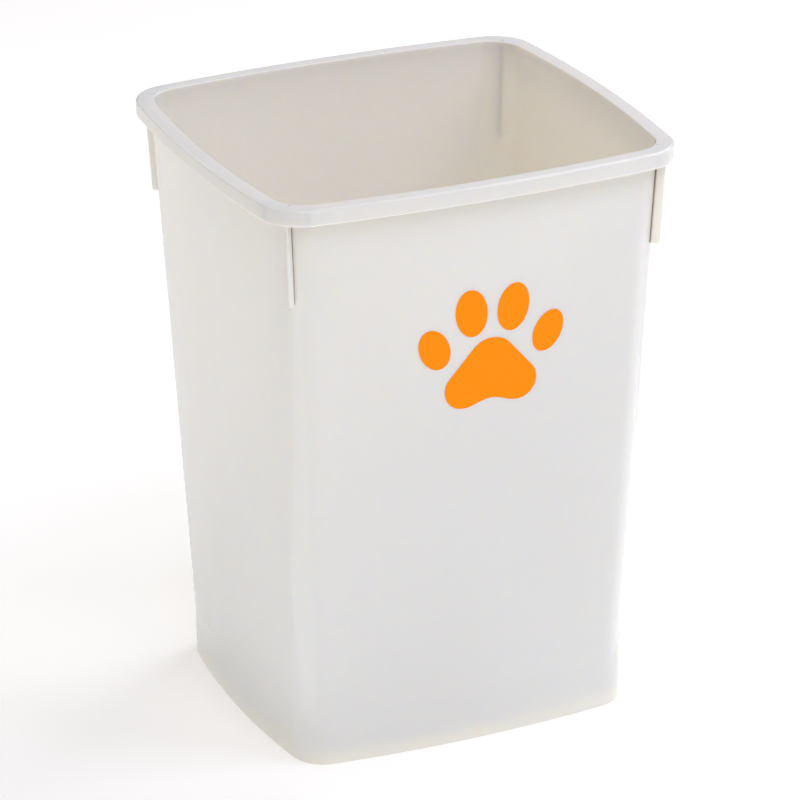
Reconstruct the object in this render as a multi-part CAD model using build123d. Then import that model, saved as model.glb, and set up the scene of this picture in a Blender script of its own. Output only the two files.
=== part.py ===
from build123d import *
import os

# Pet waste bin: an open, tapered, thin-walled tub with a turned-down rim, moulded in one piece,
# and a five-piece orange paw emblem on its front wall. Millimetres, +Z up, front towards -Y,
# origin in the middle of the face that it stands on.

# ---- Overall form -------------------------------------------------------------------------------
height = 450.0          # floor to the top of the rim
rim_length = 334.0      # X, over the rim
rim_width = 306.0       # Y, over the rim
rim_corner = 32.0       # outside radius of the rim's corners
base_length = 281.0     # X, over the foot
base_width = 248.0      # Y, over the foot
base_corner = 27.0      # outside radius of the foot's corners
side_bow = 9.4          # how far the middle of each side stands out past its two corners
plinth_height = 38.0    # lowest part of the walls, which stands upright

# ---- Walls and floor ----------------------------------------------------------------------------
wall = 2.4
floor_thickness = 2.8
floor_raise = 4.0       # the floor hangs this far above the foot ring
floor_blend = 7.0       # radius inside, between the floor and the walls
foot_edge = 0.8         # rounding of the foot's outside edge
gate_diameter = 14.0    # disc left under the floor where the mould was filled
gate_height = 1.2

# ---- Rim ----------------------------------------------------------------------------------------
rim_overhang = 9.0      # from the wall's outside face out to the skirt's outside face
rim_thickness = 2.4
skirt_wall = 2.2
skirt_drop = 12.0       # top of the rim down to the skirt's lower edge
rim_shoulder = 2.0      # rounding of the rim's outside top edge
mouth_edge = 0.8        # rounding of the rim's inside top edge

# ---- Stacking fins and rim webs, at each corner ---------------------------------------------------
fin_length = 76.0       # top of the rim down to the fin's flat lower end
fin_inset = 1.4         # the fin's edge stands this far inside the skirt's outside face
fin_thickness = 2.4
fin_tip = 1.5           # rounding of the fin's lower outside corner
root_groove = 1.2       # width of the groove between the wall and the fin's full thickness
root_neck = 1.0         # thickness left in that groove
web_thickness = 1.4
web_lift = 1.5          # the webs stop this far above the skirt's lower edge
web_turn = 31.0         # degrees from the fin round the corner to each web
sink_in = 0.8           # how far fins and webs run into the faces that they join

# ---- Emblem -------------------------------------------------------------------------------------
film = 0.3              # thickness of the emblem's film
emblem_x = 8.0          # middle of the emblem on the front wall
emblem_drop = 134.0     # top of the rim down to the middle of the emblem
pad_lobe = 15.0         # radius of the paw pad's two lower lobes
pad_lobe_x = 21.5       # lobes, crown and toes are placed from the middle of the emblem
pad_lobe_z = -26.0
pad_crown = 19.5        # radius of the pad's upper end
pad_crown_z = -8.0
pad_notch = 32.0        # radius of the hollow between the lower lobes
pad_notch_depth = 5.0
pad_notch_edge = 6.0
toes = [                # name, x, z, half width, half length, lean in degrees
    ("emblem_toe_outer_left", -45.0, 9.0, 11.5, 16.5, 24.0),
    ("emblem_toe_inner_left", -16.5, 33.0, 12.5, 18.5, 8.0),
    ("emblem_toe_inner_right", 16.5, 33.0, 12.5, 18.5, -8.0),
    ("emblem_toe_outer_right", 45.0, 9.0, 11.5, 16.5, -24.0),
]


def outline(length, width, corner, z):
    """Flat face at height z: four outward-bowed sides with rounded corners."""
    x, y = length / 2 - side_bow, width / 2 - side_bow
    front = ThreePointArc((-x, -y), (0, -width / 2), (x, -y))
    right = ThreePointArc((x, -y), (length / 2, 0), (x, y))
    back = ThreePointArc((x, y), (0, width / 2), (-x, y))
    left = ThreePointArc((-x, y), (-length / 2, 0), (-x, -y))
    face = make_face(front + right + back + left)
    return Pos(0, 0, z) * fillet(face.vertices(), corner)


def rim_outline(grow, z):
    """The rim's outside line, moved outwards by grow."""
    return outline(rim_length + 2 * grow, rim_width + 2 * grow, rim_corner + grow, z)


def wall_outline(grow, z):
    """The wall's outside line at height z, moved outwards by grow."""
    share = max(0.0, (z - plinth_height) / (height - plinth_height))
    length = base_length + share * (rim_length - 2 * rim_overhang - base_length)
    width = base_width + share * (rim_width - 2 * rim_overhang - base_width)
    corner = base_corner + share * (rim_corner - rim_overhang / 2 - base_corner)
    return outline(length + 2 * grow, width + 2 * grow, corner + grow, z)


def tub(grow, low, high):
    """Solid inside the wall's outside face, moved outwards by grow, between two heights."""
    levels = [low, plinth_height, high] if low < plinth_height else [low, high]
    return loft([wall_outline(grow, z) for z in levels], ruled=True)


def corner_arc(face, x_side, y_side):
    """The rounded corner of an outline on the given side of X and of Y."""
    arcs = [e for e in face.edges() if e.center().X * x_side > 0 and e.center().Y * y_side > 0]
    return max(arcs, key=lambda e: abs(e.center().X) + abs(e.center().Y))


def bin_tub():
    """Walls and floor, with the raised underside and the gate disc."""
    floor_top = floor_raise + floor_thickness
    cavity = tub(-wall, floor_top, height + rim_thickness)
    cavity = fillet(cavity.edges().group_by(Axis.Z)[0], floor_blend)
    underside = extrude(wall_outline(-wall, 0), floor_raise)
    body = tub(0, 0, height)
    body = fillet(body.edges().group_by(Axis.Z)[0], foot_edge)
    gate = Pos(0, 0, floor_raise - gate_height / 2) * Cylinder(gate_diameter / 2, gate_height)
    return body - cavity - underside + gate, cavity


def rim(cavity):
    """Flat top ring with its rounded shoulder and turned-down skirt."""
    bottom = height - skirt_drop
    blank = extrude(rim_outline(0, bottom), skirt_drop)
    blank = fillet(blank.edges().group_by(Axis.Z)[-1], rim_shoulder)
    hollow = extrude(rim_outline(-skirt_wall, bottom), skirt_drop - rim_thickness)
    return blank - hollow - cavity


def upright_plate(points, direction, thickness, rounding=0.0):
    """Plate through points (x, y, z) that lie in one upright plane along direction."""
    side = Vector(direction.Y, -direction.X, 0)
    face = make_face(Polyline(*points, close=True))
    if rounding:
        outer_low = max(face.vertices().group_by(Axis.Z)[0], key=lambda v: v.X ** 2 + v.Y ** 2)
        face = fillet(outer_low, rounding)
    return extrude(face, thickness / 2, dir=side, both=True)


def fin(x_side, y_side):
    """Stacking fin that follows the wall's slope, with its narrow neck next to the wall."""
    top, bottom = height - rim_thickness / 2, height - fin_length
    reach = rim_overhang - fin_inset
    low_arc = corner_arc(wall_outline(0, bottom), x_side, y_side)
    top_arc = corner_arc(wall_outline(0, top), x_side, y_side)
    low, high = low_arc @ 0.5, top_arc @ 0.5
    out = (high - top_arc.arc_center).normalized()
    run = (low - high).dot(out)
    foot = Vector(high.X, high.Y, bottom) + out * run

    def plate(start, end, thickness, rounding=0.0):
        points = [foot + out * start, foot + out * end, high + out * end, high + out * start]
        return upright_plate(points, out, thickness, rounding)

    blade = plate(root_groove, reach, fin_thickness, fin_tip)
    neck = plate(-sink_in, root_groove + sink_in, root_neck)
    return blade + neck


def web(x_side, y_side, turn):
    """Short web under the rim, between the wall and the skirt, turned from the fin's place."""
    top = height - rim_thickness / 2
    bottom = height - skirt_drop + web_lift
    arc = corner_arc(rim_outline(0, top), x_side, y_side)
    centre, middle = arc.arc_center, arc @ 0.5
    out = (middle - centre).normalized().rotate(Axis.Z, turn)
    start = rim_corner - rim_overhang - sink_in
    end = rim_corner - skirt_wall + sink_in
    corners = [(start, bottom), (end, bottom), (end, top), (start, top)]
    points = [Vector(centre.X, centre.Y, z) + out * reach for reach, z in corners]
    return upright_plate(points, out, web_thickness)


def bin_body():
    """The one-piece moulding: tub, rim, four stacking fins and the webs beside them."""
    body, cavity = bin_tub()
    body += rim(cavity)
    for x_side in (-1, 1):
        for y_side in (-1, 1):
            extras = [fin(x_side, y_side)]
            extras += [web(x_side, y_side, turn) for turn in (-web_turn, web_turn)]
            for extra in extras:
                body += extra - cavity
    mouth = body.edges().filter_by(lambda e: abs(e.center().Z - height) < 0.01)
    inner_length = rim_length / 2 - rim_overhang
    mouth = [e for e in mouth if abs(e.center().X) < inner_length and abs(e.center().Y) < inner_length]
    return fillet(mouth, mouth_edge)


def emblem_piece(shape):
    """A film piece that lies on the bowed, sloping front wall, cut to a flat shape."""
    skin = tub(film, 0, height) - tub(0, 0, height)
    middle = (emblem_x, 0, height - emblem_drop)
    front = Plane(origin=middle, x_dir=(1, 0, 0), z_dir=(0, -1, 0))
    return extrude(front * shape, rim_width) & skin


def paw_pad():
    """Three-lobed pad: the hull of three circles with a shallow hollow underneath."""
    circles = [
        Pos(-pad_lobe_x, pad_lobe_z) * Circle(pad_lobe),
        Pos(pad_lobe_x, pad_lobe_z) * Circle(pad_lobe),
        Pos(0, pad_crown_z) * Circle(pad_crown),
    ]
    hull = make_hull([e for c in circles for e in c.edges()])
    lowest = pad_lobe_z - pad_lobe
    pad = hull - Pos(0, lowest + pad_notch_depth - pad_notch) * Circle(pad_notch)
    return fillet(pad.vertices().group_by(Axis.Y)[0], pad_notch_edge)


def toe(x, z, half_width, half_length, lean):
    """Oval toe print that leans to one side."""
    return Pos(x, z) * Rot(0, 0, lean) * Ellipse(half_width, half_length)


def save(shape, name):
    """Write one node as a STEP file named after it."""
    shape.label = name
    export_step(shape, os.path.join("parts", name + ".step"))


os.makedirs("parts", exist_ok=True)
save(bin_body(), "bin_body")
save(emblem_piece(paw_pad()), "emblem_pad")
for name, *place in toes:
    save(emblem_piece(toe(*place)), name)
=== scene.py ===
import math

import bpy
import numpy as np
from mathutils import Matrix, Vector


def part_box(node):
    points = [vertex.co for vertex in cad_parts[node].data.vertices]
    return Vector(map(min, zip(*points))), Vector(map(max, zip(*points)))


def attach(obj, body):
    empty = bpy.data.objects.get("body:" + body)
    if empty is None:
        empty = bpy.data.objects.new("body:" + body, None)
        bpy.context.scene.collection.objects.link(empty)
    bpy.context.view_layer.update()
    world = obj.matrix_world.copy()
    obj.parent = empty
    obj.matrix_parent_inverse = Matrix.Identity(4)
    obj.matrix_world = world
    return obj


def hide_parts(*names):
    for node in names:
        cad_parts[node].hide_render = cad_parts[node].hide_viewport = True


# A pet waste bin: an open, tapered tub with a turned-down rim and four stacking fins, moulded in
# one piece, and a paw emblem of five orange film pieces on its front. Metres, +Z up, front to -Y.

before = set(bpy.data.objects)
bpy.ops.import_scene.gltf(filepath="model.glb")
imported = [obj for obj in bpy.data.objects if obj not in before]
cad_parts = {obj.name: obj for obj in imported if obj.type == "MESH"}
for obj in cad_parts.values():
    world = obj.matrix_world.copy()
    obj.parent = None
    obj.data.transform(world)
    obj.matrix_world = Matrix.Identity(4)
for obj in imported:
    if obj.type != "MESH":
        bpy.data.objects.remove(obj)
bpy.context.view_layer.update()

# ---- The moulding: walls, floor and rim -----------------------------------------------------------
# One injection moulding in polypropylene. The four walls bow outwards and taper to a short upright
# foot, and a flat ring whose outside edge turns down into a skirt stiffens the mouth. The floor
# hangs above the foot, so the bin stands on a thin ring.

rim_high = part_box("bin_body")[1]
height = rim_high.z
rim_half_length = rim_high.x
rim_half_width = rim_high.y
rim_corner = 0.032
rim_overhang = 0.009
rim_thickness = 0.0024
rim_shoulder = 0.002
mouth_edge = 0.0008
skirt_wall = 0.0022
skirt_drop = 0.012
skirt_lip = 0.0007
base_half_length = 0.1405
base_half_width = 0.124
base_corner = 0.027
side_bow = 0.0094
plinth_height = 0.038
plinth_crease = 0.003
wall = 0.0024
floor_raise = 0.004
flat_inset = 0.016
floor_thickness = 0.0028
floor_blend = 0.007
foot_edge = 0.0008
small_fillet = 0.0005
fin_length = 0.076
fin_sink_depth = 0.00012
fin_sink_width = 0.0022
web_turn = math.radians(31)
web_sink_depth = 0.00006
web_sink_width = 0.0009
side_columns = 14
corner_columns = 96
hold = 0.0004


def corner_geometry(half_length, half_width, corner):
    """Centres, radii and end angles of the three arcs in the quadrant from +X to +Y.

    Each side is a shallow arc whose middle stands side_bow outside its two ends. The fillet's
    centre is where circles about the two shallow arcs' centres, smaller by the fillet, meet.
    """
    reach_x = half_length - side_bow
    reach_y = half_width - side_bow
    end_radius = (reach_x ** 2 + side_bow ** 2) / (2 * side_bow)
    side_radius = (reach_y ** 2 + side_bow ** 2) / (2 * side_bow)
    end_y = half_width - end_radius
    side_x = half_length - side_radius
    near, far = side_radius - corner, end_radius - corner
    gap = np.hypot(side_x, end_y)
    along = (near ** 2 - far ** 2 + gap ** 2) / (2 * gap)
    across = np.sqrt(near ** 2 - along ** 2)
    toward = (-side_x / gap, end_y / gap)
    centre_x = side_x + along * toward[0] - across * toward[1]
    centre_y = along * toward[1] + across * toward[0]
    low_angle = np.arctan2(centre_y, centre_x - side_x)
    high_angle = np.arctan2(centre_y - end_y, centre_x)
    return side_x, side_radius, end_y, end_radius, centre_x, centre_y, low_angle, high_angle


def outline_grid(half_length, half_width, corner):
    """One closed outline for each entry of the arrays, as (rows, columns) of x and of y.

    A quadrant runs along half of a bowed side, round the fillet and along half of the next side.
    The other three quadrants are its mirror images, taken so that the outline runs on round.
    """
    sizes = (half_length, half_width, corner)
    half_length, half_width, corner = (np.asarray(size, float)[:, None] for size in sizes)
    side_x, side_radius, end_y, end_radius, centre_x, centre_y, low, high = corner_geometry(
        half_length, half_width, corner)
    side = np.linspace(0, 1, side_columns, endpoint=False)[None, :]
    bend = np.linspace(0, 1, corner_columns, endpoint=False)[None, :]
    last = np.linspace(0, 1, side_columns + 1)[None, :]
    side_angle = side * low
    bend_angle = low + bend * (high - low)
    last_angle = high + last * (math.pi / 2 - high)
    x = np.hstack([side_x + side_radius * np.cos(side_angle), centre_x + corner * np.cos(bend_angle),
                   end_radius * np.cos(last_angle)])
    y = np.hstack([side_radius * np.sin(side_angle), centre_y + corner * np.sin(bend_angle),
                   end_y + end_radius * np.sin(last_angle)])
    back = slice(-2, None, -1)
    full_x = np.hstack([x, -x[:, back], -x[:, 1:], x[:, -2:0:-1]])
    full_y = np.hstack([y, y[:, back], -y[:, 1:], -y[:, -2:0:-1]])
    return full_x, full_y


def rounded_path(stops, radii, plane, steps=7, longest=0.018):
    """The polyline through the stops, with each inner stop turned on an arc of its own radius.

    A stop may have any number of coordinates. Arcs are drawn in the two that plane names, and the
    others follow in proportion. A point is held close to each end of an arc, and long runs are cut
    into equal pieces no longer than longest.
    """
    stops = np.asarray(stops, float)
    ends = [stops[0]]
    pieces = []
    for before, stop, after, radius in zip(stops[:-2], stops[1:-1], stops[2:], radii):
        a, b = before - stop, after - stop
        a = a / np.linalg.norm(a[plane])
        b = b / np.linalg.norm(b[plane])
        half = math.acos(np.clip(a[plane] @ b[plane], -1, 1)) / 2
        swing = np.linspace(-1, 1, steps)[:, None] * (math.pi / 2 - half)
        middle = (a + b) / (2 * math.cos(half))
        sideways = (b - a) / (2 * math.sin(half))
        inward = middle * radius * (1 / math.sin(half) - np.cos(swing))
        arc = stop + inward + sideways * radius * np.sin(swing)
        pieces.append(arc)
        ends += [arc[0], arc[-1]]
    ends.append(stops[-1])
    path = []
    for i, (start, stop) in enumerate(zip(ends[0::2], ends[1::2])):
        length = np.linalg.norm((stop - start)[plane])
        near = min(hold / length, 0.25)
        inner = max(1, math.ceil(length / longest))
        share = np.r_[0, np.linspace(near, 1 - near, inner + 1), 1][:, None]
        path.append(start + share * (stop - start))
        if i < len(pieces):
            path.append(pieces[i][1:-1])
    return np.vstack(path)


def with_rows_at(path, heights):
    """The path with a row added wherever its first climb up the outside passes one of the heights."""
    for z in heights:
        after = int(np.argmax(path[:, -1] > z))
        share = (z - path[after - 1, -1]) / (path[after, -1] - path[after - 1, -1])
        path = np.insert(path, after, path[after - 1] + share * (path[after] - path[after - 1]), axis=0)
    return path


def skin(grid, first_pole, last_pole):
    """Closed surface over a (rows, columns, 3) grid of closed rings, with a pole at each end.

    A face's outward side is the direction round the ring crossed with the direction along the rows.
    """
    rows, columns = grid.shape[:2]
    index = np.arange(rows * columns).reshape(rows, columns)
    following = np.roll(index, -1, axis=1)
    quads = np.stack([index[:-1], following[:-1], following[1:], index[1:]], axis=-1).reshape(-1, 4)
    low, high = rows * columns, rows * columns + 1
    first = np.stack([np.full(columns, low), following[0], index[0]], axis=-1)
    last = np.stack([np.full(columns, high), index[-1], following[-1]], axis=-1)
    points = np.vstack([grid.reshape(-1, 3), first_pole, last_pole])
    return points, quads.tolist() + first.tolist() + last.tolist()


def joined(parts):
    """Several (points, faces) surfaces as one, with the later faces' numbers moved on."""
    points, faces, count = [], [], 0
    for part_points, part_faces in parts:
        points.append(part_points)
        faces += [[i + count for i in face] for face in part_faces]
        count += len(part_points)
    return np.vstack(points), faces


def mesh_object(name, points, faces):
    """Smooth-shaded object at the origin, with its place in its vertices."""
    mesh = bpy.data.meshes.new(name)
    mesh.from_pydata(points.tolist(), [], faces)
    mesh.shade_smooth()
    piece = bpy.data.objects.new(name, mesh)
    bpy.context.scene.collection.objects.link(piece)
    return piece


def wall_stop(z, grow=0.0):
    """The wall's outside line at height z, moved outwards by grow."""
    share = max(0.0, (z - plinth_height) / (height - plinth_height))
    length = base_half_length + share * (rim_half_length - rim_overhang - base_half_length)
    width = base_half_width + share * (rim_half_width - rim_overhang - base_half_width)
    corner = base_corner + share * (rim_corner - rim_overhang / 2 - base_corner)
    return [length + grow, width + grow, corner + grow, z]


def rim_stop(z, grow=0.0):
    """The rim's outside line at height z, moved outwards by grow."""
    return [rim_half_length + grow, rim_half_width + grow, rim_corner + grow, z]


def moved_to(stop, z):
    """The same line at another height."""
    return stop[:3] + [z]


def closing_rows(row, count):
    """Smaller and smaller copies of a flat row, up to but not including its middle."""
    share = np.linspace(1, 0, count, endpoint=False)[1:, None, None]
    return row[None] * np.array([1, 1, 0]) * share + row[None] * np.array([0, 0, 1])


def corner_frame(stop):
    """Centre and middle angle of the fillet of one outline, in the quadrant of +X and +Y."""
    *_, centre_x, centre_y, low, high = corner_geometry(*stop[:3])
    return np.array([centre_x, centre_y]), (low + high) / 2


def sink_marks(length, z, grid):
    """How far each point of the skirt's outside is drawn in, as (x, y) towards its corner's centre.

    A mark is a bell curve across the fin's or a web's place, on the rows that form the skirt.
    """
    centre, middle = corner_frame(rim_stop(height))
    away = np.abs(grid[..., :2]) - centre
    angle = np.arctan2(away[..., 1], away[..., 0])
    arc = (angle - middle) * rim_corner
    fin_mark = fin_sink_depth * np.exp(-(arc / fin_sink_width) ** 2)
    web_arc = np.abs(arc) - web_turn * rim_corner
    web_mark = web_sink_depth * np.exp(-(web_arc / web_sink_width) ** 2)
    on_skirt = np.clip((length - rim_half_length + skirt_wall / 4) / (skirt_wall / 4), 0, 1)
    in_corner = (away.min(axis=-1) > 0).astype(float)
    depth = (fin_mark + web_mark) * on_skirt[:, None] * in_corner
    direction = away / np.linalg.norm(away, axis=-1, keepdims=True) * np.sign(grid[..., :2])
    return depth[..., None] * direction


def tub_and_rim():
    """The profile from the underside, up the wall, round the skirt and down inside to the floor.

    Every stop of the profile is a whole outline. The rows between them are outlines too, whose
    half length, half width, corner radius and height all change in proportion.
    """
    floor_top = floor_raise + floor_thickness
    ring_under = height - rim_thickness
    skirt_end = height - skirt_drop
    stops_and_radii = [
        (moved_to(wall_stop(0, -wall - flat_inset), floor_raise), 0),
        (moved_to(wall_stop(0, -wall), floor_raise), foot_edge),
        (wall_stop(0, -wall), foot_edge / 2),
        (wall_stop(0), foot_edge),
        (wall_stop(plinth_height), plinth_crease),
        (wall_stop(ring_under), small_fillet),
        (rim_stop(ring_under, -skirt_wall), small_fillet),
        (rim_stop(skirt_end, -skirt_wall), skirt_lip),
        (rim_stop(skirt_end), skirt_lip),
        (rim_stop(height), rim_shoulder),
        (wall_stop(height, -wall), mouth_edge),
        (wall_stop(plinth_height, -wall), plinth_crease),
        (wall_stop(floor_top, -wall), floor_blend),
        (moved_to(wall_stop(0, -wall - flat_inset), floor_top), 0),
    ]
    stops = [stop for stop, radius in stops_and_radii]
    radii = [radius for stop, radius in stops_and_radii[1:-1]]
    fin_end = height - fin_length
    path = with_rows_at(rounded_path(stops, radii, [0, 3]), [fin_end - hold, fin_end, fin_end + hold])
    length, width, corner, z = path.T
    x, y = outline_grid(length, width, corner)
    grid = np.stack([x, y, np.broadcast_to(z[:, None], x.shape)], axis=-1)
    grid[..., :2] -= sink_marks(length, z, grid)
    under = closing_rows(grid[0], 7)[::-1]
    over = closing_rows(grid[-1], 7)
    grid = np.vstack([under, grid, over])
    return skin(grid, [0, 0, floor_raise], [0, 0, floor_top])


# ---- The moulding: stacking fins, rim webs and gate -------------------------------------------------
# Moulded in one with the tub. A fin at each corner, its root narrowed by a groove, keeps stacked
# bins from jamming, and two short webs beside it stiffen the rim and its skirt. The plastic came in
# through a gate in the middle of the floor, where a small disc was left.

fin_inset = 0.0014
fin_half = 0.0012
fin_tip = 0.0015
fin_edge = 0.0005
root_groove = 0.0012
root_half = 0.0005
web_half = 0.0007
web_lift = 0.0015
sink_in = 0.0001
web_reach_in = 0.0008
gate_radius = 0.007
gate_height = 0.0012
quadrants = [(1, 1), (-1, 1), (-1, -1), (1, -1)]


def plate(loop, low, high, out, end_cut, edge):
    """Upright plate: a closed loop of (reach, sideways) carried from one place up to another.

    The first rows are smaller, which rounds the lower edge, and their far end is drawn back along
    a quarter circle of radius end_cut.
    """
    swing = np.linspace(0, math.pi / 2, 6)
    rise = np.r_[edge * (1 - np.cos(swing)), np.linspace(edge * 1.5, max(edge * 1.6, end_cut), 8),
                 np.linspace(max(edge * 1.6, end_cut), high[2] - low[2], 12)[1:]]
    inset = np.r_[edge * (1 - np.sin(swing)), np.zeros(19)]
    start, end = loop[:, 0].min(), loop[:, 0].max()
    left = np.clip(end_cut - rise, 0, None)
    cut = end_cut - np.sqrt(end_cut ** 2 - left ** 2)
    reach = start + (loop[None, :, 0] - start) * (1 - (cut + inset) / (end - start))[:, None]
    side = loop[None, :, 1] * (1 - inset / loop[:, 1].max())[:, None]
    share = (rise / (high[2] - low[2]))[:, None, None]
    root = low + share * (high - low)
    out = np.array([*out, 0.0])
    across = np.array([-out[1], out[0], 0.0])
    grid = root + reach[..., None] * out + side[..., None] * across
    middle = (start + end) / 2 * out
    return skin(grid, low + middle, high + middle)


def mirrored(point, quadrant):
    """An (x, y) place or direction taken to another quadrant."""
    return np.array([point[0] * quadrant[0], point[1] * quadrant[1]])


def fins():
    """One fin for each corner, on the line between the fillets' middles at its foot and its top."""
    top, bottom = height - rim_thickness + sink_in, height - fin_length
    reach = rim_overhang - fin_inset
    sides = [(-sink_in, root_half), (root_groove, root_half), (root_groove, fin_half), (reach, fin_half)]
    stops = [(s, -w) for s, w in sides] + [(s, w) for s, w in sides[::-1]]
    radii = [root_half / 2, fin_edge / 2, fin_edge, fin_edge, fin_edge / 2, root_half / 2]
    loop = rounded_path(stops, radii, [0, 1], steps=5, longest=0.002)
    top_centre, angle = corner_frame(wall_stop(top))
    out = np.array([math.cos(angle), math.sin(angle)])
    low_centre, low_angle = corner_frame(wall_stop(bottom))
    low = low_centre + wall_stop(bottom)[2] * np.array([math.cos(low_angle), math.sin(low_angle)])
    high = top_centre + wall_stop(top)[2] * out
    foot = high + out * ((low - high) @ out)
    parts = []
    for quadrant in quadrants:
        start = np.array([*mirrored(foot, quadrant), bottom])
        stop = np.array([*mirrored(high, quadrant), top])
        parts.append(plate(loop, start, stop, mirrored(out, quadrant), fin_tip, fin_edge / 2))
    return joined(parts)


def webs():
    """Two webs beside each fin, from just short of the wall to inside the skirt."""
    top, bottom = height - rim_thickness + sink_in, height - skirt_drop + web_lift
    start = rim_corner - rim_overhang - web_reach_in
    end = rim_corner - skirt_wall + sink_in
    stops = [(start, -web_half), (end, -web_half), (end, web_half), (start, web_half)]
    loop = rounded_path(stops, [web_half / 4, web_half / 4], [0, 1], steps=3, longest=0.002)
    centre, middle = corner_frame(rim_stop(height))
    parts = []
    for quadrant in quadrants:
        place = mirrored(centre, quadrant)
        for turn in (-web_turn, web_turn):
            out = mirrored((math.cos(middle + turn), math.sin(middle + turn)), quadrant)
            low, high = np.array([*place, bottom]), np.array([*place, top])
            parts.append(plate(loop, low, high, out, 0.0, web_half / 2))
    return joined(parts)


def gate():
    """Disc left by the gate, a rounded profile turned about the bin's middle, with a small dimple."""
    low = floor_raise - gate_height
    dimple, depth = gate_radius / 5, gate_height / 3
    stops = [(dimple / 2, low + depth), (dimple, low + depth), (dimple * 1.3, low), (gate_radius, low),
             (gate_radius, floor_raise + floor_thickness / 2), (dimple, floor_raise + floor_thickness / 2)]
    radius, z = rounded_path(stops, [depth / 4, depth / 4, depth, depth], [0, 1], longest=0.003).T
    turn = np.linspace(0, 2 * math.pi, 72, endpoint=False)
    grid = np.stack([np.outer(radius, np.cos(turn)), np.outer(radius, np.sin(turn)),
                     np.broadcast_to(z[:, None], (len(z), len(turn)))], axis=-1)
    return skin(grid, [0, 0, z[0]], [0, 0, z[-1]])


bin_parts = [tub_and_rim(), fins(), webs(), gate()]
bin_shell = mesh_object("bin_shell", *joined(bin_parts))
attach(bin_shell, "root")
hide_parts("bin_body")


def root_shade(points):
    """Mask for painted shade: from 1 in the groove at a fin's root to 0 a little way from it, by a bell
    curve.

    The distance is taken from the line where the fin's middle plane meets the wall.
    """
    top, bottom = height - rim_thickness / 2, height - fin_length
    top_centre, angle = corner_frame(wall_stop(top))
    low_centre, low_angle = corner_frame(wall_stop(bottom))
    low = low_centre + wall_stop(bottom)[2] * np.array([math.cos(low_angle), math.sin(low_angle)])
    high = top_centre + wall_stop(top)[2] * np.array([math.cos(angle), math.sin(angle)])
    share = (points[:, 2] - bottom) / (top - bottom)
    root = low + np.clip(share, 0, 1)[:, None] * (high - low)
    away = np.linalg.norm(np.abs(points[:, :2]) - root, axis=1)
    return np.exp(-(away / root_groove) ** 2) * (share > 0)


shade = bin_shell.data.attributes.new("root_shade", "FLOAT", "POINT")
places = np.empty(len(bin_shell.data.vertices) * 3)
bin_shell.data.vertices.foreach_get("co", places)
shade.data.foreach_set("value", root_shade(places.reshape(-1, 3)))

# ---- The moulding: polypropylene --------------------------------------------------------------------
# Ivory polypropylene, glossy from a polished mould and faintly translucent. It has slow waves from
# uneven cooling, a slight mottle in the pigment, hairline marks from handling and a trace of dust,
# and painted shade that darkens its colour towards near black in the groove at each fin's root.


class Graph:
    """Short names for the nodes, sockets and links of one node tree."""

    def __init__(self, tree):
        self.tree = tree

    def node(self, kind, settings=None, **inputs):
        """Adds a node. An input is a value, or a socket to link it to; spaces are written as _."""
        made = self.tree.nodes.new(kind)
        for key, value in (settings or {}).items():
            setattr(made, key, value)
        for key, value in inputs.items():
            socket = made.inputs[key.replace("_", " ")] if key[0].isupper() else made.inputs[int(key[1:])]
            if isinstance(value, bpy.types.NodeSocket):
                self.tree.links.new(value, socket)
            else:
                socket.default_value = value
        return made

    def maths(self, operation, *values, clamp=False):
        """A Math node's result."""
        inputs = {f"i{i}": v for i, v in enumerate(values)}
        return self.node("ShaderNodeMath", {"operation": operation, "use_clamp": clamp}, **inputs).outputs[0]

    def noise(self, vector, scale, detail=2.0, roughness=0.5):
        """A noise texture's value."""
        return self.node("ShaderNodeTexNoise", Vector=vector, Scale=scale, Detail=detail,
                         Roughness=roughness).outputs["Fac"]

    def spread(self, value, low, high, to_low=0.0, to_high=1.0):
        """Takes low..high to to_low..to_high, smoothly and without going past them."""
        settings = {"interpolation_type": "SMOOTHSTEP"}
        return self.node("ShaderNodeMapRange", settings, Value=value, From_Min=low, From_Max=high,
                         To_Min=to_low, To_Max=to_high).outputs[0]

    def mix(self, share, first, second, blend="MIX"):
        """Two colours mixed."""
        settings = {"data_type": "RGBA", "blend_type": blend}
        made = self.node("ShaderNodeMix", settings, i0=share, i6=first, i7=second)
        return made.outputs[2]


def effect(name, inputs, outputs):
    """An empty shader group with named number inputs (name: value) and outputs."""
    tree = bpy.data.node_groups.new(name, "ShaderNodeTree")
    for label, value in inputs.items():
        socket = tree.interface.new_socket(label, in_out="INPUT", socket_type="NodeSocketFloat")
        socket.default_value = value
    for label in outputs:
        tree.interface.new_socket(label, in_out="OUTPUT", socket_type="NodeSocketFloat")
    graph = Graph(tree)
    source = graph.node("NodeGroupInput").outputs
    target = graph.node("NodeGroupOutput").inputs
    place = graph.node("ShaderNodeTexCoord").outputs["Object"]
    return graph, source, target, place


def cooling_waves():
    """Height of the slow, shallow waves that moulded plastic keeps when it cools unevenly."""
    graph, source, target, place = effect(
        "cooling_waves", {"Waves per metre": 14.0, "Height": 0.0001, "Stretch": 0.35}, ["Height"])
    slower = graph.node("ShaderNodeCombineXYZ", X=1.0, Y=1.0, Z=source["Stretch"]).outputs[0]
    long_way = graph.node("ShaderNodeVectorMath", {"operation": "MULTIPLY"}, i0=place, i1=slower).outputs[0]
    broad = graph.noise(long_way, source["Waves per metre"], 1.0)
    finer = graph.noise(long_way, graph.maths("MULTIPLY", source["Waves per metre"], 4.0), 1.0)
    both = graph.maths("ADD", broad, graph.maths("MULTIPLY", finer, 0.18))
    graph.tree.links.new(graph.maths("MULTIPLY", both, source["Height"]), target["Height"])
    return graph.tree


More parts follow.
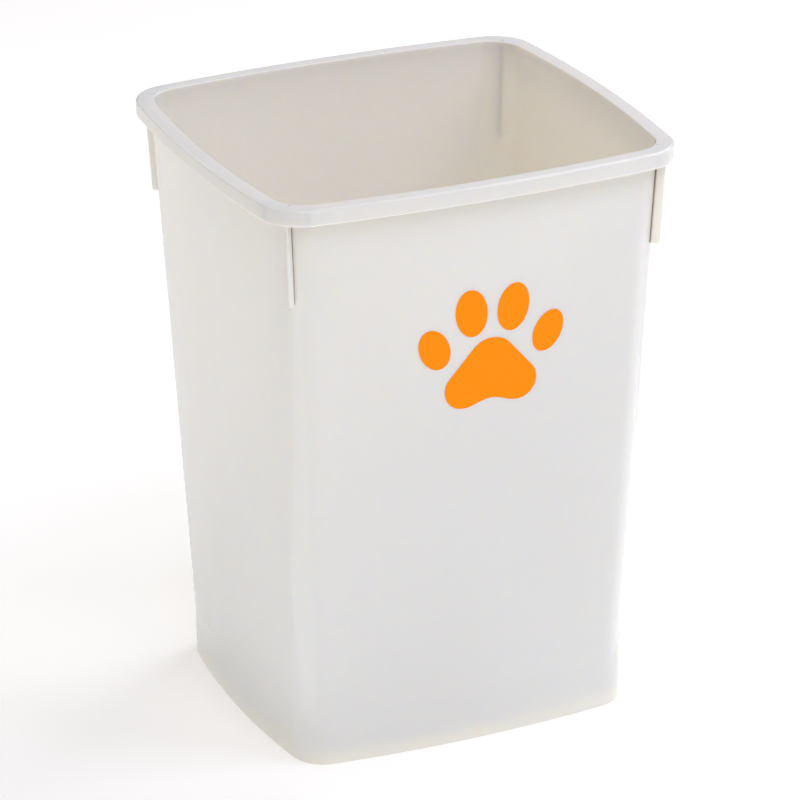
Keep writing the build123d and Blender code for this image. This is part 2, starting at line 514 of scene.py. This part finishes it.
def handling_marks():
    """Short straight hairlines in three directions, and small dull patches from cleaning.

    A hairline is the middle of a cell of a cell pattern that is drawn out a dozen times one way.
    """
    graph, source, target, place = effect(
        "handling_marks", {"Hairlines": 0.5, "Patches per metre": 30.0}, ["Hairline", "Dullness"])
    lines = None
    for turn in ((0.2, 0.1, 0.3), (0.9, 1.3, 0.4), (1.7, 0.5, 2.1)):
        drawn_out = graph.node("ShaderNodeMapping", Vector=place, Rotation=turn, Scale=(90.0, 90.0, 7.0))
        cells = graph.node("ShaderNodeTexVoronoi", Vector=drawn_out.outputs[0], Scale=1.0).outputs
        line = graph.spread(cells["Distance"], 0.008, 0.02, 1.0, 0.0)
        lines = line if lines is None else graph.maths("MAXIMUM", lines, line)
    hair = graph.maths("MULTIPLY", lines, source["Hairlines"])
    dull = graph.spread(graph.noise(place, source["Patches per metre"], 5.0, 0.6), 0.35, 0.75)
    graph.tree.links.new(hair, target["Hairline"])
    graph.tree.links.new(dull, target["Dullness"])
    return graph.tree


def settled_dust():
    """A thin, uneven film of dust on faces that look upwards, and a few specks anywhere."""
    graph, source, target, place = effect("settled_dust", {"Film": 0.1, "Specks": 0.3}, ["Dust"])
    upward = graph.node("ShaderNodeSeparateXYZ", Vector=graph.node("ShaderNodeNewGeometry").outputs["Normal"])
    facing = graph.spread(upward.outputs["Z"], 0.2, 1.0)
    patchy = graph.spread(graph.noise(place, 24.0, 6.0, 0.65), 0.3, 0.7)
    film = graph.maths("MULTIPLY", graph.maths("MULTIPLY", facing, patchy), source["Film"])
    cells = graph.node("ShaderNodeTexVoronoi", Vector=place, Scale=160.0).outputs
    speck = graph.spread(cells["Distance"], 0.045, 0.075, 1.0, 0.0)
    rare = graph.spread(graph.noise(place, 40.0, 1.0), 0.6, 0.64)
    dots = graph.maths("MULTIPLY", graph.maths("MULTIPLY", speck, rare), source["Specks"])
    graph.tree.links.new(graph.maths("MAXIMUM", film, dots), target["Dust"])
    return graph.tree


waves, marks, dust = cooling_waves(), handling_marks(), settled_dust()


def material_graph(name):
    """A new material, its node graph and its Principled BSDF."""
    material = bpy.data.materials.new(name)
    material.use_nodes = True
    graph = Graph(material.node_tree)
    return material, graph, material.node_tree.nodes["Principled BSDF"]


def placed(graph, group, **inputs):
    """The outputs of a shared effect, placed in a material with its own values."""
    made = graph.node("ShaderNodeGroup", {"node_tree": group})
    for key, value in inputs.items():
        made.inputs[key.replace("_", " ")].default_value = value
    return made.outputs


def feed(graph, shader, **inputs):
    """Sets or links sockets of the shader; spaces are written as _."""
    for key, value in inputs.items():
        socket = shader.inputs[key.replace("_", " ")]
        if isinstance(value, bpy.types.NodeSocket):
            graph.tree.links.new(value, socket)
        else:
            socket.default_value = value


def ivory_polypropylene():
    """The moulding's plastic."""
    material, graph, shader = material_graph("ivory_polypropylene")
    place = graph.node("ShaderNodeTexCoord").outputs["Object"]
    mottle = graph.spread(graph.noise(place, 11.0, 4.0), 0.3, 0.7)
    colour = graph.mix(mottle, (0.938, 0.884, 0.806, 1), (0.948, 0.895, 0.818, 1))
    shade = graph.node("ShaderNodeAttribute", {"attribute_name": "root_shade"}).outputs["Fac"]
    # Painted shade: near each fin's root the colour is darkened towards near black by the root_shade mask.
    colour = graph.mix(graph.spread(shade, 0.1, 0.7, 0.0, 0.8), colour, (0.12, 0.11, 0.1, 1))
    dusty = placed(graph, dust, Film=0.05, Specks=0.22)["Dust"]
    colour = graph.mix(dusty, colour, (0.62, 0.6, 0.56, 1))
    worn = placed(graph, marks, Hairlines=0.6, Patches_per_metre=26.0)
    rough = graph.maths("ADD", graph.spread(worn["Dullness"], 0.0, 1.0, 0.06, 0.1),
                        graph.maths("MULTIPLY", worn["Hairline"], 0.2))
    rough = graph.maths("ADD", rough, graph.maths("MULTIPLY", dusty, 0.5), clamp=True)
    waved = placed(graph, waves, Waves_per_metre=13.0, Height=0.0005, Stretch=0.35)["Height"]
    bump = graph.node("ShaderNodeBump", Strength=1.0, Distance=1.0, Height=waved)
    feed(graph, shader, Base_Color=colour, Roughness=rough, Normal=bump.outputs[0], IOR=1.49,
         Subsurface_Weight=0.9, Subsurface_Radius=(1.0, 0.8, 0.55), Subsurface_Scale=0.008)
    return material


bin_shell.data.materials.append(ivory_polypropylene())

# ---- The emblem -------------------------------------------------------------------------------------
# A dog's paw print on the front wall: a pad and four toes of glossy orange film, cut to shape one by
# one, laid on the bowed wall and rubbed down, so their edges lie close and their corners are soft.

pad_low, pad_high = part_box("emblem_pad")
film = 0.0003
film_sunk = 0.0001
film_edge = 0.014
pad_lobe = 0.015
pad_lobe_x = 0.0215
pad_lobe_z = -0.026
pad_crown = 0.0195
pad_crown_z = -0.008
pad_hollow = 0.005
emblem_x = (pad_low.x + pad_high.x) / 2
emblem_z = pad_low.z - pad_lobe_z + pad_lobe
toe_sizes = {
    "outer": (0.0115, 0.0165, math.radians(24)),
    "inner": (0.0125, 0.0185, math.radians(8)),
}


def wall_front(x, z):
    """How far the front wall's outside face stands from the middle plane, at x and height z.

    It is the outline's shallow front arc, whose radius and place change evenly with height.
    """
    share = (z - plinth_height) / (height - plinth_height)
    length = base_half_length + share * (rim_half_length - rim_overhang - base_half_length)
    width = base_half_width + share * (rim_half_width - rim_overhang - base_half_width)
    radius = ((length - side_bow) ** 2 + side_bow ** 2) / (2 * side_bow)
    return width - radius + np.sqrt(radius ** 2 - x ** 2)


def pad_outline(count=240):
    """The hull of three circles, with a shallow hollow pushed up between the two lower ones.

    In each direction the hull's point is on the circle that reaches furthest that way. The points
    are then spread evenly along the line, and those below and between the lobes move up by a
    half wave.
    """
    turn = np.linspace(0, -2 * math.pi, 1440, endpoint=False)
    ray = np.stack([np.cos(turn), np.sin(turn)], axis=1)
    centres = np.array([(-pad_lobe_x, pad_lobe_z), (pad_lobe_x, pad_lobe_z), (0, pad_crown_z)])
    sizes = np.array([pad_lobe, pad_lobe, pad_crown])
    furthest = (ray @ centres.T + sizes).argmax(axis=1)
    line = centres[furthest] + sizes[furthest][:, None] * ray
    line = np.vstack([line, line[:1]])
    length = np.r_[0, np.cumsum(np.linalg.norm(np.diff(line, axis=0), axis=1))]
    even = np.linspace(0, length[-1], count, endpoint=False)
    x, z = np.interp(even, length, line[:, 0]), np.interp(even, length, line[:, 1])
    between = (np.abs(x) < pad_lobe_x) & (z < pad_lobe_z)
    return x, z + np.where(between, pad_hollow * (1 + np.cos(math.pi * x / pad_lobe_x)) / 2, 0)


def toe_outline(half_width, half_length, lean, count=160):
    """An ellipse leaning to the left by an angle, clockwise as seen from the front."""
    turn = np.linspace(0, -2 * math.pi, count, endpoint=False)
    x, z = half_width * np.cos(turn), half_length * np.sin(turn)
    return x * math.cos(lean) - z * math.sin(lean), x * math.sin(lean) + z * math.cos(lean)


def film_piece(name, x, z, middle_x, middle_z, heart):
    """Film with this outline: rings drawn in towards its heart, lifted off the wall by its thickness.

    The rings run from the heart of the outer face to the edge, over the edge on a quarter circle,
    down to just inside the wall and back to the heart.
    """
    swing = np.linspace(0, math.pi / 2, 6)
    share = np.r_[np.linspace(0.08, 0.94, 12), 1 - 1.5 * film_edge, 1 - film_edge * (1 - np.sin(swing)),
                  1.0, 1 - film_edge, 0.5, 0.1]
    lift = np.r_[np.full(13, film), film * np.cos(swing), -film_sunk, -film_sunk, -film_sunk, -film_sunk]
    ring_x = middle_x + share[:, None] * x[None, :]
    ring_z = middle_z + heart + share[:, None] * (z - heart)[None, :]
    y = -(wall_front(ring_x, ring_z) + lift[:, None])
    grid = np.stack([ring_x, y, ring_z], axis=-1)
    surface = wall_front(middle_x, middle_z + heart)
    outer = [middle_x, -(surface + film), middle_z + heart]
    inner = [middle_x, -(surface - film_sunk), middle_z + heart]
    piece = mesh_object(name, *skin(grid, outer, inner))
    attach(piece, "root")
    return piece


def orange_film():
    """Glossy printed film: orange ink under a clear face, with faint printing grain and a faint orange glow
    of painted light.
    """
    material, graph, shader = material_graph("orange_film")
    place = graph.node("ShaderNodeTexCoord").outputs["Object"]
    grain = graph.spread(graph.noise(place, 900.0, 3.0, 0.6), 0.3, 0.7)
    colour = graph.mix(grain, (0.98, 0.262, 0.002, 1), (1.0, 0.285, 0.004, 1))
    dusty = placed(graph, dust, Film=0.05, Specks=0.12)["Dust"]
    colour = graph.mix(dusty, colour, (0.9, 0.5, 0.25, 1))
    worn = placed(graph, marks, Hairlines=0.5, Patches_per_metre=60.0)
    rough = graph.maths("ADD", graph.spread(worn["Dullness"], 0.0, 1.0, 0.24, 0.34),
                        graph.maths("MULTIPLY", worn["Hairline"], 0.15))
    waved = placed(graph, waves, Waves_per_metre=13.0, Height=0.0005, Stretch=0.35)["Height"]
    peel = graph.maths("MULTIPLY", grain, 0.0000015)
    bump = graph.node("ShaderNodeBump", Strength=1.0, Distance=1.0, Height=graph.maths("ADD", waved, peel))
    # Painted light: a faint orange emission makes the film glow, though it is no lamp.
    feed(graph, shader, Base_Color=colour, Roughness=rough, Normal=bump.outputs[0], IOR=1.47,
         Specular_IOR_Level=0.08, Emission_Color=(1.0, 0.27, 0.0, 1), Emission_Strength=0.18)
    return material


film_material = orange_film()
pad_x, pad_z = pad_outline()
emblem_pad = film_piece("emblem_film_pad", pad_x, pad_z, emblem_x, emblem_z, pad_lobe_z * 0.8)
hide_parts("emblem_pad")
emblem_pad.data.materials.append(film_material)
for place, (half_width, half_length, lean) in toe_sizes.items():
    for side, way in (("left", 1), ("right", -1)):
        node = f"emblem_toe_{place}_{side}"
        toe_low, toe_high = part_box(node)
        toe_x, toe_z = toe_outline(half_width, half_length, way * lean)
        toe = film_piece(f"emblem_film_toe_{place}_{side}", toe_x, toe_z,
                         (toe_low.x + toe_high.x) / 2, (toe_low.z + toe_high.z) / 2, 0.0)
        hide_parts(node)
        toe.data.materials.append(film_material)

# ---- Floor, light and camera ------------------------------------------------------------------------
# A plain pale floor that glows a little, an even pale sky, five soft boxes in front, behind and to
# the sides, two bright cards on the floor that the wall's corners reflect, and a long-lens camera
# that looks down on the front and the left side.

floor_radius = 12.0


def floor():
    """A wide flat disc under the bin, of rings that grow outwards."""
    radius = floor_radius * np.linspace(0.02, 1, 24) ** 2
    turn = np.linspace(0, 2 * math.pi, 96, endpoint=False)
    x, y = np.outer(radius, np.cos(turn)), np.outer(radius, np.sin(turn))
    top = np.stack([x, y, np.zeros_like(x)], axis=-1)
    bottom = top[::-1] - np.array([0, 0, 0.05])
    return skin(np.vstack([top, bottom])[::-1], [0, 0, -0.05], [0, 0, 0])


def floor_paint():
    """Matt pale paint with a very faint mottle."""
    material, graph, shader = material_graph("pale_floor")
    place = graph.node("ShaderNodeTexCoord").outputs["Object"]
    mottle = graph.spread(graph.noise(place, 3.0, 4.0), 0.3, 0.7)
    colour = graph.mix(mottle, (0.935, 0.925, 0.885, 1), (0.95, 0.94, 0.9, 1))
    feed(graph, shader, Base_Color=colour, Roughness=0.9, Specular_IOR_Level=0.2,
         Emission_Color=(1.0, 0.995, 0.985, 1), Emission_Strength=0.3)
    return material


studio_floor = mesh_object("studio_floor", *floor())
studio_floor.data.materials.append(floor_paint())


def soft_light(name, place, aim, size, power, colour):
    """A rectangular soft box at place that faces aim."""
    lamp = bpy.data.lights.new(name, "AREA")
    lamp.shape = "RECTANGLE"
    lamp.size, lamp.size_y = size
    lamp.energy = power
    lamp.color = colour
    box = bpy.data.objects.new(name, lamp)
    box.location = place
    box.rotation_mode = "QUATERNION"
    box.rotation_quaternion = (Vector(aim) - Vector(place)).to_track_quat("-Z", "Y")
    bpy.context.scene.collection.objects.link(box)


def floor_card(name, place, azimuth, size, power, colour):
    """A bright card that lies on the floor out of sight, for the wall corners to reflect."""
    lamp = bpy.data.lights.new(name, "AREA")
    lamp.shape = "RECTANGLE"
    lamp.size, lamp.size_y = size
    lamp.energy = power
    lamp.color = colour
    card = bpy.data.objects.new(name, lamp)
    turn = Matrix.Rotation(azimuth, 4, "Z") @ Matrix.Rotation(math.pi, 4, "X")
    card.matrix_world = Matrix.Translation((*place, 0.003)) @ turn
    card.visible_camera = False
    bpy.context.scene.collection.objects.link(card)


cool_white = (0.99, 0.98, 1.03)
front_white = (0.97, 0.975, 1.12)
middle = (0.0, 0.0, height / 2)
soft_light("front_box", (-0.3, -2.2, 3.0), middle, (1.6, 1.6), 26.5, front_white)
soft_light("front_right_box", (1.5, -1.1, 2.6), middle, (1.4, 1.4), 20.5, front_white)
soft_light("back_right_box", (1.8, 0.8, 2.2), middle, (1.6, 1.6), 25.0, cool_white)
soft_light("back_left_box", (-1.5, 1.1, 2.6), middle, (1.4, 1.4), 4.5, cool_white)
soft_light("back_left_panel", (-0.95, 2.61, 1.57), middle, (1.3, 1.2), 8.5, cool_white)
floor_card("left_card", (-0.526, -0.3304), math.radians(-132), (0.75, 0.3), 0.45, cool_white)
floor_card("right_card", (0.5981, -0.1543), math.radians(-30), (0.75, 0.4), 0.6, cool_white)

world = bpy.data.worlds.new("studio")
bpy.context.scene.world = world
world.use_nodes = True
sky = world.node_tree.nodes["Background"]
sky.inputs["Color"].default_value = (1.0, 0.985, 1.0, 1)
sky.inputs["Strength"].default_value = 0.28
bpy.context.scene.view_settings.view_transform = "Standard"

view_azimuth = math.radians(24.086)
view_elevation = math.radians(23.234)
view_roll = math.radians(-0.468)
view_distance = 7.3814 * height
view_lens = 200.18
aim = Vector((-0.0152, -0.0198, 0.5142)) * height


def camera():
    """A long-lens camera turned round and lifted over the front, with a slight roll."""
    right = Vector((math.cos(view_azimuth), -math.sin(view_azimuth), 0))
    back = Vector((-math.sin(view_azimuth) * math.cos(view_elevation),
                   -math.cos(view_azimuth) * math.cos(view_elevation), math.sin(view_elevation)))
    up = back.cross(right)
    across = right * math.cos(view_roll) + up * math.sin(view_roll)
    upward = up * math.cos(view_roll) - right * math.sin(view_roll)
    lens = bpy.data.cameras.new("camera")
    lens.lens = view_lens
    lens.sensor_width = 36.0
    lens.clip_end = 100.0
    view = bpy.data.objects.new("camera", lens)
    turn = Matrix((across, upward, back)).transposed().to_4x4()
    view.matrix_world = Matrix.Translation(aim + back * view_distance) @ turn
    bpy.context.scene.collection.objects.link(view)
    return view


bpy.context.scene.camera = camera()
